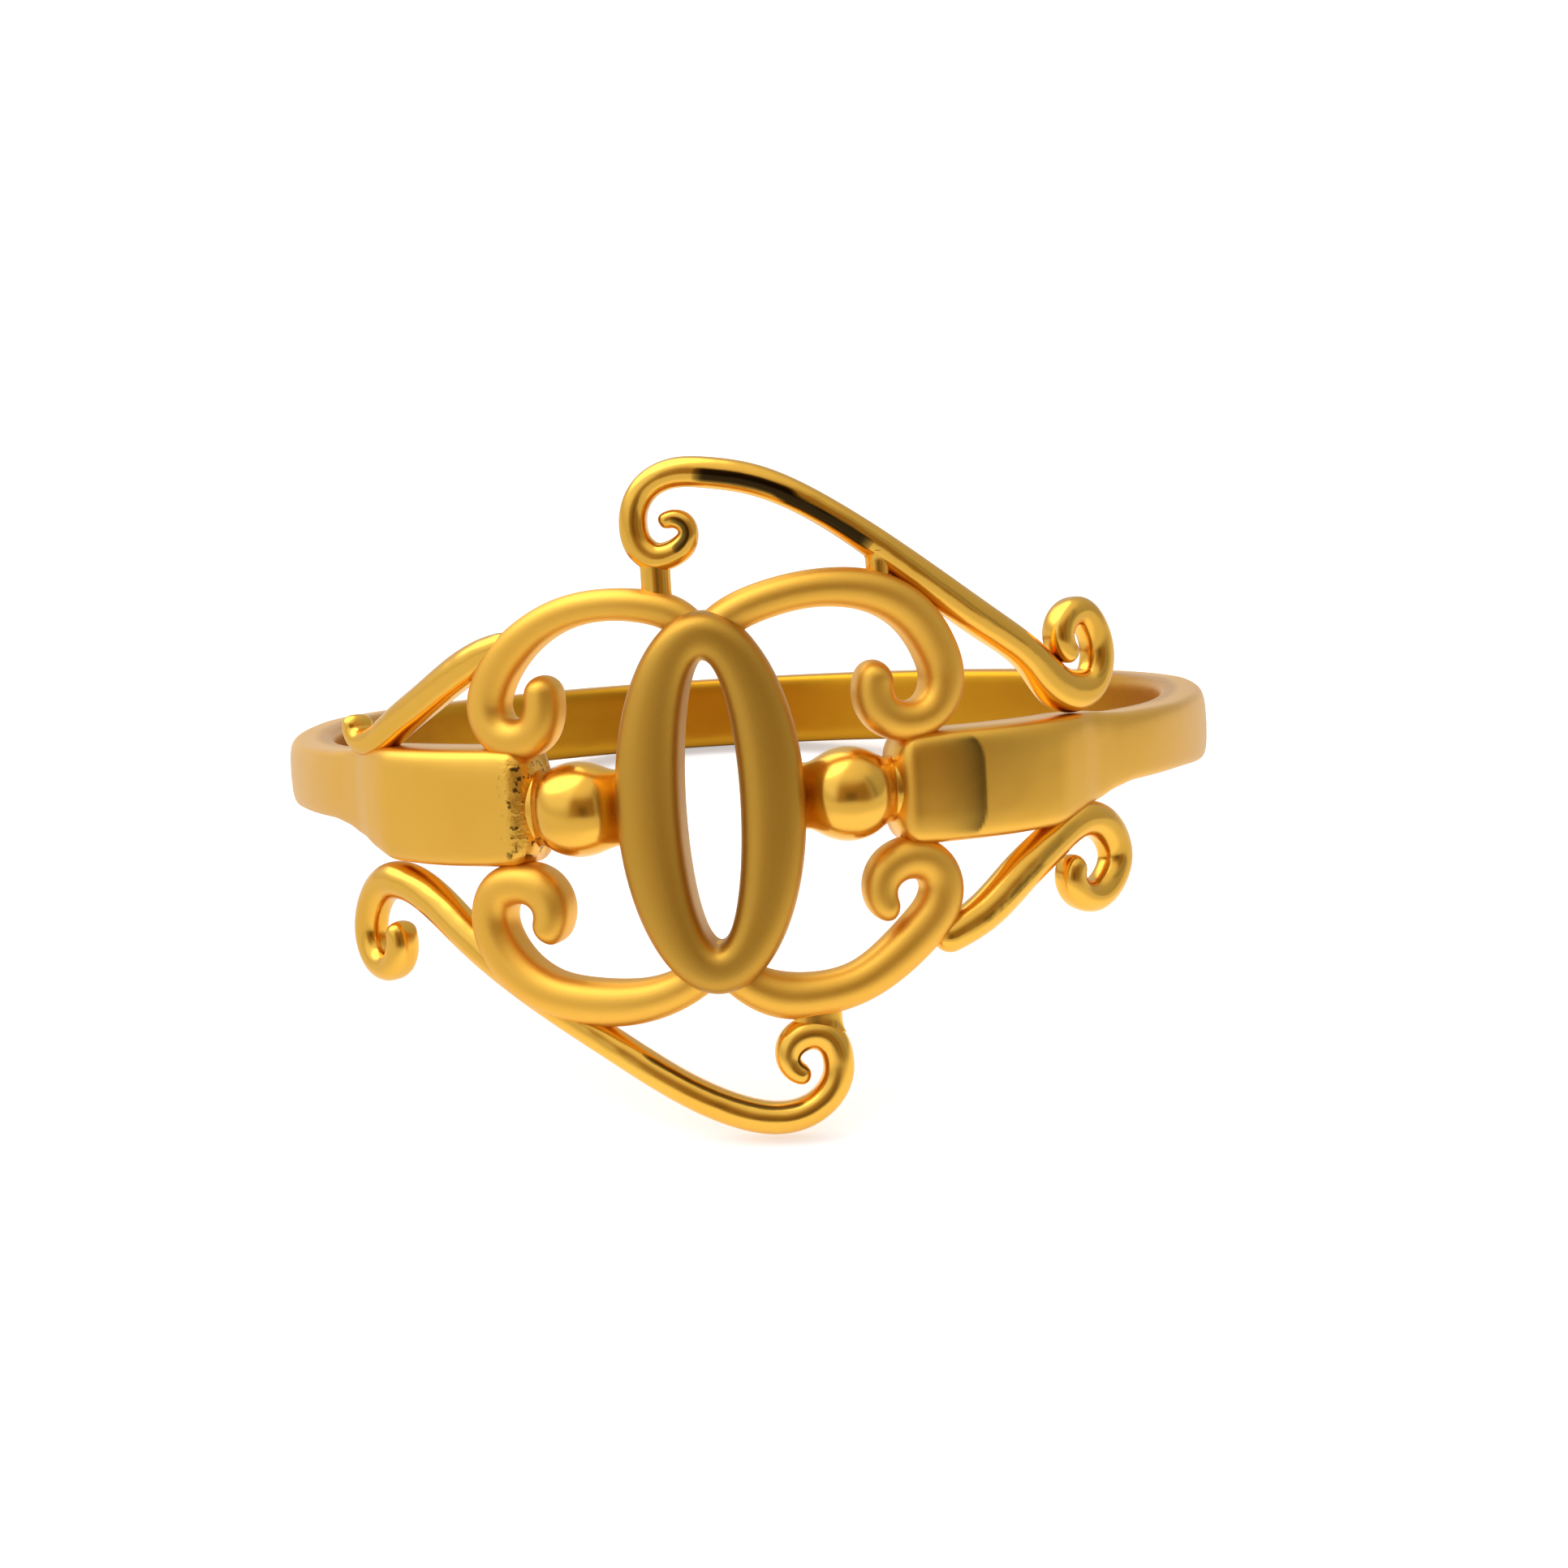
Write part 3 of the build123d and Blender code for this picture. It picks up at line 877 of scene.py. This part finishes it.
def gold(name, finish):
    """A gold material: one metal, whose colour drifts a little between a lighter and a deeper tone,
    with the roughness, surface, warmth and darkness that finish gives for a place. On the hoop the
    warmth and darkness are its deeper tone, and on the band and the wires they are painted
    reflections."""
    material = bpy.data.materials.new(name)
    material.use_nodes = True
    nodes = Nodes(material.node_tree)
    place = nodes.add("ShaderNodeTexCoord", {}, {}, output="Object", is_vector=True)
    drift = nodes.noise(place, colour_cloud, detail=3)
    roughness, height, depth_mm, warm, dark = finish(nodes, place, drift)
    colour = nodes.mix_colour(drift, gold_deep, gold_light)
    # Warmth and darkness: the hoop's tone, and painted reflections on the band and the wires
    colour = nodes.mix_colour(warm, colour, gold_warm_tone_and_painted_reflection)
    colour = nodes.mix_colour(dark, colour, gold_dark_tone_and_painted_reflection)
    bump_inputs = {"Strength": 1.0, "Distance": depth_mm * MM, "Height": height}
    bump = nodes.add("ShaderNodeBump", {}, bump_inputs)
    shader_inputs = {"Base Color": colour, "Metallic": 1.0, "Roughness": roughness, "Normal": bump}
    shader = nodes.add("ShaderNodeBsdfPrincipled", {}, shader_inputs)
    nodes.add("ShaderNodeOutputMaterial", {}, {"Surface": shader})
    return material


def satin_finish(nodes, place, drift):
    """Fine sand-blasting: rough, with grains of a few hundredths of a millimetre."""
    grain = nodes.noise(place, satin_grain, detail=2)
    roughness = satin_roughness + satin_drift * drift + satin_speckle * grain
    return roughness, grain, satin_depth, 0, 0


def hoop_finish(nodes, place, drift):
    """The same sand-blasting in a deeper, slightly warmer tone."""
    roughness, grain, depth_mm, _, _ = satin_finish(nodes, place, drift)
    return roughness, grain, depth_mm, hoop_warmth, hoop_darkness + hoop_drift * drift


def polished_finish(nodes, place, drift):
    """A hand polish: a near mirror that waves softly, as a buffed casting does, with painted
    reflections drawn as dark streaks.
    """
    wave = nodes.noise(place, polished_wave, detail=1)
    ripple = nodes.noise(place, painted_reflection_ripple, detail=2)
    painted_reflection = nodes.mask("dark")
    roughness = polished_roughness + polished_drift * drift
    ragged = nodes.smooth_step(painted_reflection + painted_reflection_raggedness * (ripple - 0.5), *painted_reflection_fade)
    return roughness, wave, polished_depth, 0, ragged * painted_reflection


def band_finish(nodes, place, drift):
    """A soft shine on the band, warmer inside, where gold faces gold: a painted reflection of gold in
    gold. The right shoulder ends in a patch that is glossy and, towards its far edge, darkened by a
    painted reflection, and the left one in small pits, darkened by painted reflections."""
    # The warmer inside is a painted reflection of gold facing gold
    inside = nodes.mask("inside")
    patch = nodes.mask("dark")
    pitted = nodes.mask("pitted")
    wave = nodes.noise(place, band_wave, detail=1)
    lumps = nodes.noise(place, pit_size, detail=2)
    pits = nodes.smooth_step(lumps, *pit_fade) * pitted
    roughness = band_roughness + band_drift * drift - patch_gloss * patch
    height = wave + pit_relief * pitted * lumps
    # The darkness of the patch and of the pits is painted reflection
    dark = (patch_painted_reflection_darkness * patch + pit_painted_reflection_darkness * pits).at_most(1.0)
    return roughness, height, band_depth, inside, dark


satin_gold = gold("satin_gold", satin_finish)
hoop_gold = gold("hoop_gold", hoop_finish)
polished_gold = gold("polished_gold", polished_finish)
band_gold = gold("band_gold", band_finish)

band_with_shoulders()
hoop()
for bead_row in bead_rows:
    bead(*bead_row)
broad = (broad_tendril_lift, broad_tendril_depth)
slim = (slim_tendril_lift, slim_tendril_depth)
tendril("tendril_upper_right", upper_right_tendril_rows, 1, 1, *broad)
tendril("tendril_lower_left", lower_left_tendril_rows, -1, -1, *broad)
tendril("tendril_upper_left", upper_left_tendril_rows, -1, 1, *slim)
tendril("tendril_lower_right", lower_right_tendril_rows, 1, -1, *slim)
wire("wire_upper_long", upper_wire_rows, 1, 1, upper_wire_painted_reflections)
wire("wire_lower_long", lower_wire_rows, -1, -1, lower_wire_painted_reflections)
wire("wire_upper_short", upper_short_wire_rows, -1, 1)
wire("wire_lower_short", lower_short_wire_rows, 1, -1, lower_short_wire_painted_reflections)
for post_row in post_rows:
    post(*post_row)


def floor():
    """A plain pale floor just beneath the ring, white to the camera."""
    half = floor_reach
    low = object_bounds()[0].z
    corners = [(-half, -half, low), (half, -half, low), (half, half, low), (-half, half, low)]
    mesh = bpy.data.meshes.new("floor")
    mesh.from_pydata(corners, [], [(0, 1, 2, 3)])
    piece = bpy.data.objects.new("floor", mesh)
    bpy.context.scene.collection.objects.link(piece)
    material = bpy.data.materials.new("pale_floor")
    material.use_nodes = True
    nodes = Nodes(material.node_tree)
    place = nodes.add("ShaderNodeTexCoord", {}, {}, output="Object", is_vector=True)
    offset = place - (glow_along * MM, glow_across * MM, low)
    distance = nodes.add("ShaderNodeVectorMath", {"operation": "LENGTH"}, {0: offset}, output="Value")
    beneath = 1 - nodes.smooth_step(distance, glow_full * MM, glow_end * MM)
    seen = nodes.add("ShaderNodeLightPath", {}, {}, output="Is Camera Ray")
    bright = (floor_glow, floor_glow, floor_glow, 1)
    glow = nodes.mix_colour((beneath + seen).at_most(1), (0, 0, 0, 1), bright)
    shader_inputs = {
        "Base Color": (floor_paleness, floor_paleness, floor_paleness, 1),
        "Roughness": floor_roughness,
        "Emission Color": glow,
        "Emission Strength": 1.0,
    }
    shader = nodes.add("ShaderNodeBsdfPrincipled", {}, shader_inputs)
    nodes.add("ShaderNodeOutputMaterial", {}, {"Surface": shader})
    mesh.materials.append(material)
    piece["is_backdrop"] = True


def camera():
    """The camera at the photograph's angle to the ring."""
    a, e, r = camera_azimuth, camera_elevation, camera_roll
    back = np.array([sin(a) * cos(e), -cos(a) * cos(e), sin(e)])
    level_right = np.array([cos(a), sin(a), 0])
    level_up = np.cross(back, level_right)
    right = level_right * cos(r) - level_up * sin(r)
    up = level_right * sin(r) + level_up * cos(r)
    place = back * camera_distance + right * camera_slide + up * camera_climb
    data = bpy.data.cameras.new("camera")
    data.sensor_width = sensor_width
    data.lens = sensor_width * photo_focal_pixels / photo_pixels
    data.clip_start = nearest_seen
    data.clip_end = farthest_seen
    piece = bpy.data.objects.new("camera", data)
    turn = np.eye(4)
    turn[:3, :3] = lean_table @ np.stack([right, up, back], axis=1)
    turn[:3, 3] = to_frame(place)
    piece.matrix_world = Matrix(turn)
    bpy.context.scene.collection.objects.link(piece)
    bpy.context.scene.camera = piece


def sun(name, azimuth, elevation, width, power):
    """A broad light far away, as wide as a width in degrees, that shines on the ring from there."""
    data = bpy.data.lights.new(name, "SUN")
    data.angle = radians(width)
    data.energy = power
    piece = bpy.data.objects.new(name, data)
    turn = Matrix.Rotation(radians(azimuth), 3, "Z") @ Matrix.Rotation(radians(90 - elevation), 3, "X")
    piece.matrix_world = turn.to_4x4()
    bpy.context.scene.collection.objects.link(piece)


def studio():
    """A pale studio: bright above and on the left, and dim in front and on the right.

    Light is read from the direction that a reflection looks in: its azimuth, 0 in front and
    positive to the right, and its height z, from -1 to 1. A dim, warm part of the room is darkest
    just right of the middle, a dark strip stands beyond it, and a softbox stands on the left. The
    camera itself sees plain white."""
    world = bpy.data.worlds.new("studio")
    bpy.context.scene.world = world
    world.use_nodes = True
    nodes = Nodes(world.node_tree)
    direction = nodes.add("ShaderNodeTexCoord", {}, {}, output="Generated", is_vector=True)
    x, y, z = (nodes.add("ShaderNodeSeparateXYZ", {}, {"Vector": direction}, output=axis) for axis in "XYZ")
    azimuth = nodes.add("ShaderNodeMath", {"operation": "ARCTAN2"}, {0: x, 1: 0 - y})

    def sector(low, high, edge):
        """1 between two azimuths in degrees, 0 outside, and eased over an edge."""
        return nodes.band(azimuth, radians(low), radians(high), radians(edge))

    room = sector(*room_azimuths) * (1 - nodes.smooth_step(z, *room_top))
    darkest = sector(*darkest_azimuths) * nodes.band(z, *darkest_heights)
    strip = sector(*strip_azimuths) * (1 - nodes.smooth_step(z, *strip_top))
    softbox = sector(*softbox_azimuths) * nodes.smooth_step(z, *softbox_foot)
    ceiling = nodes.smooth_step(z, *ceiling_foot)
    light = plain_light - light_leftward * x + light_upward * z
    light = light + softbox_light * softbox + ceiling_light * ceiling
    light = light * (1 - room_dimming * room) * (1 - darkest_dimming * darkest)
    light = light * (1 - strip_dimming * strip)
    seen = nodes.add("ShaderNodeLightPath", {}, {}, output="Is Camera Ray")
    strength = seen + (1 - seen) * light
    colour = nodes.mix_colour((1 - seen) * softbox, (1, 1, 1, 1), softbox_colour)
    colour = nodes.mix_colour((1 - seen) * room, colour, room_colour)
    background = nodes.add("ShaderNodeBackground", {}, {"Color": colour, "Strength": strength})
    nodes.add("ShaderNodeOutputWorld", {}, {"Surface": background})
    sun("sun_overhead", azimuth=-120, elevation=55, width=70, power=1.5)


camera()
floor()
studio()
bpy.context.scene.view_settings.view_transform = "Standard"
